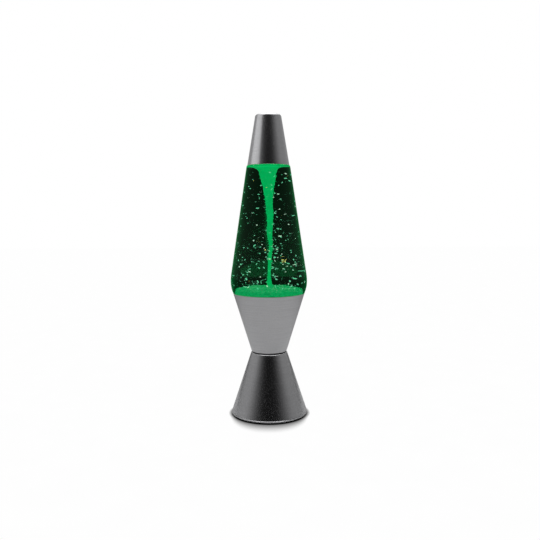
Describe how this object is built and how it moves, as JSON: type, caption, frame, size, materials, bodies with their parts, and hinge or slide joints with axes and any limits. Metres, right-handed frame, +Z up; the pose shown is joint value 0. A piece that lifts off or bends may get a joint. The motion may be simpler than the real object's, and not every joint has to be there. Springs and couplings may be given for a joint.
{
  "type": "lava lamp",
  "caption": "Battery lava-style glitter lamp: gunmetal cone base, brushed cup, tapered clear bottle with a magnet-driven whirl, and a gunmetal cap.",
  "frame": {"origin": "on the lamp's axis, in the plane of the rubber feet", "axes": "+Z up along the lamp's axis; the front faces -Y, and the switch and supply socket are at the back (+Y)"},
  "size_m": [0.0924, 0.0924, 0.36],
  "materials": {
    "gunmetal": "spun, finely brushed, smoke lacquer",
    "brushed_aluminium": "spun, circular brushed, clear lacquer",
    "black_plastic": "moulded ABS, fine matt texture",
    "knob_plastic": "moulded, satin",
    "grey_plastic": "moulded, matt",
    "white_plastic": "moulded, gloss",
    "rubber": "matt",
    "bottle_glass": "clear, fire polished",
    "glitter_water": "dark green tinted water with glitter",
    "glitter": "metallised polyester flakes, lit green",
    "clear_acrylic": "clear, polished",
    "cell_wrap": "gloss film over steel",
    "nickel": "nickel plate",
    "zinc_steel": "zinc plate",
    "magnet": "nickel plated ferrite magnet",
    "board": "glass epoxy with solder mask",
    "chip": "moulded epoxy",
    "led_lens": "tinted epoxy lens",
    "wire_red": "PVC insulation",
    "wire_black": "PVC insulation"
  },
  "bodies": {
    "base": {"base_cone": "gunmetal", "cup": "brushed_aluminium", "bottom_plate": "black_plastic", "rear_bezel": "black_plastic", "switch_body": "black_plastic", "supply_socket": "black_plastic", "neck_ring": "black_plastic", "motor_mount": "grey_plastic", "motor_end_cap": "grey_plastic", "reflector_ring": "white_plastic", "light_window": "clear_acrylic", "battery_springs": "nickel", "battery_contacts": "nickel", "socket_pin": "nickel", "plate_screws": "zinc_steel", "neck_screws": "zinc_steel", "motor_screws": "zinc_steel", "board_screws": "zinc_steel", "motor_can": "zinc_steel", "led_board": "board", "board_parts": "chip", "supply_wire_red": "wire_red", "battery_wire_red": "wire_red", "motor_wire_red": "wire_red", "supply_wire_black": "wire_black", "battery_wire_black": "wire_black", "motor_wire_black": "wire_black", "rubber_foot_1": "rubber", "rubber_foot_2": "rubber", "rubber_foot_3": "rubber", "rubber_foot_4": "rubber", "battery_cell_1": "cell_wrap", "battery_cell_2": "cell_wrap", "battery_cell_3": "cell_wrap", "led_1": "led_lens", "led_2": "led_lens", "led_3": "led_lens", "led_4": "led_lens", "led_5": "led_lens", "led_6": "led_lens"},
    "hatch": {"battery_hatch": "black_plastic"},
    "knob": {"switch_knob": "knob_plastic"},
    "rotor": {"motor_shaft": "zinc_steel", "magnet_hub": "white_plastic", "drive_magnets": "magnet"},
    "bottle": {"bottle": "bottle_glass", "bottle_base": "white_plastic", "base_seal": "rubber", "impeller_pin": "zinc_steel", "pin_clip": "zinc_steel", "impeller_guard": "white_plastic", "glitter_water": "glitter_water", "glitter_bed": "glitter", "stopper": "black_plastic", "stopper_seal": "rubber"},
    "impeller": {"impeller": "white_plastic", "impeller_magnets": "magnet"},
    "cap": {"cap": "gunmetal", "cap_liner": "black_plastic"}
  },
  "joints": [
    {"name": "rotor_spin", "type": "hinge", "parent": "base", "child": "rotor", "pos_m": [0, 0, 0.112], "axis": [0, 0, 1], "continuous": true},
    {"name": "impeller_spin", "type": "hinge", "parent": "bottle", "child": "impeller", "pos_m": [0, 0, 0.1326], "axis": [0, 0, 1], "continuous": true},
    {"name": "hatch_hinge", "type": "hinge", "parent": "base", "child": "hatch", "pos_m": [-0.0281, 0, 0.0034], "axis": [0, 1, 0], "range_deg": [0, 95]},
    {"name": "switch_slide", "type": "slide", "parent": "base", "child": "knob", "axis": [-1, 0, 0], "range_m": [0, 0.004]},
    {"name": "bottle_lift", "type": "slide", "parent": "base", "child": "bottle", "axis": [0, 0, 1], "range_m": [0, 0.05]},
    {"name": "cap_lift", "type": "slide", "parent": "bottle", "child": "cap", "axis": [0, 0, 1], "range_m": [0, 0.04]}
  ],
  "couplings": [
    {"joint": "impeller_spin", "follows": "rotor_spin", "ratio": 1}
  ]
}
